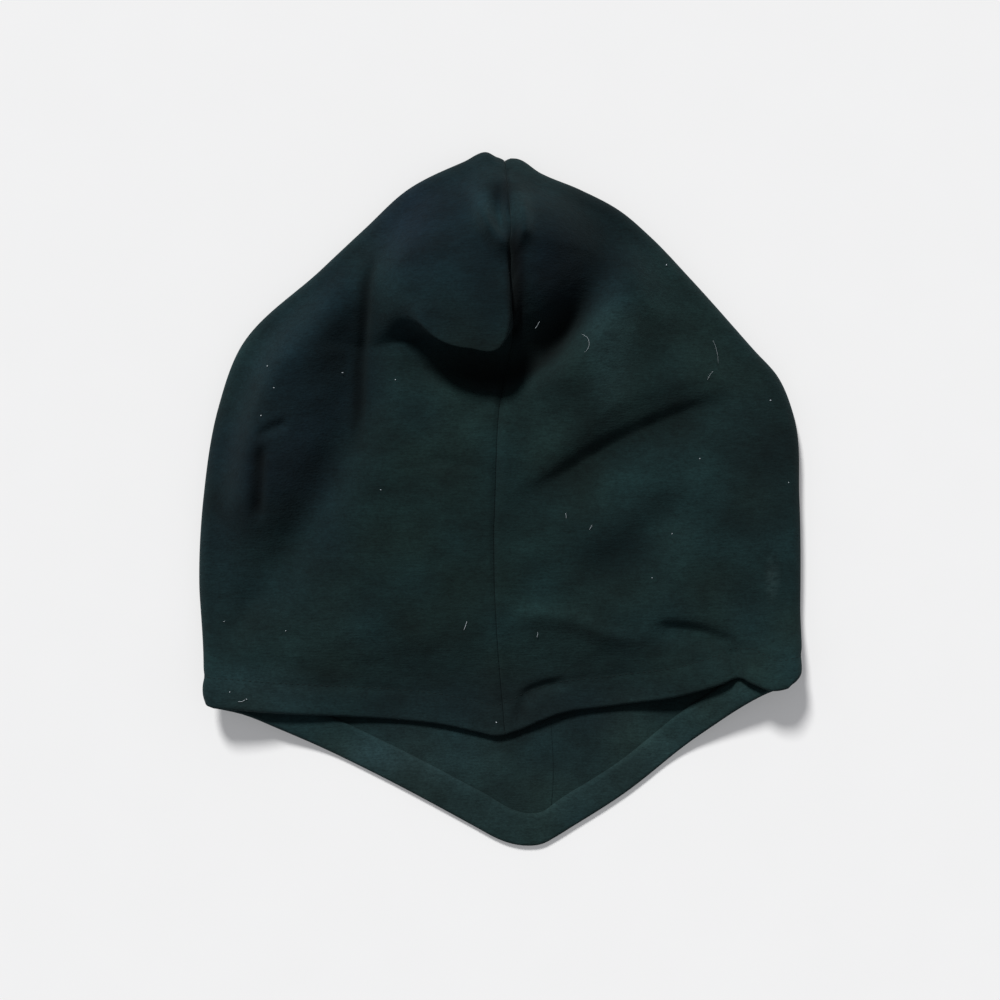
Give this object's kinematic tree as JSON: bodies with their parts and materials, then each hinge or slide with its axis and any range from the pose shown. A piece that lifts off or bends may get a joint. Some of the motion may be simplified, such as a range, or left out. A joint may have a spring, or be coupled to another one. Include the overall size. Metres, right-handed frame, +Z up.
{
  "type": "hooded balaclava",
  "caption": "Hooded balaclava of brushed fleece with a pointed bib and a centre-back seam, lying flat with the back of the head up.",
  "frame": {"origin": "on the ground, under the middle of the outline seen from above", "axes": "+Z up from the ground through the back of the hood, +Y towards the peak of the hood, the bib points to -Y, +X to the right of the picture"},
  "size_m": [0.3313, 0.3817, 0.0468],
  "materials": {
    "brushed_fleece": "brushed fleece knit, dark bottle green, matt with a soft nap",
    "fleece_reverse": "inner face and cut edges of the same fleece, a little lighter"
  },
  "bodies": {
    "root": {"left_panel": "brushed_fleece", "right_panel": "brushed_fleece", "crown_seam": "fleece_reverse", "chin_seam": "fleece_reverse", "neck_hem": "brushed_fleece", "face_hem": "brushed_fleece"}
  },
  "joints": []
}
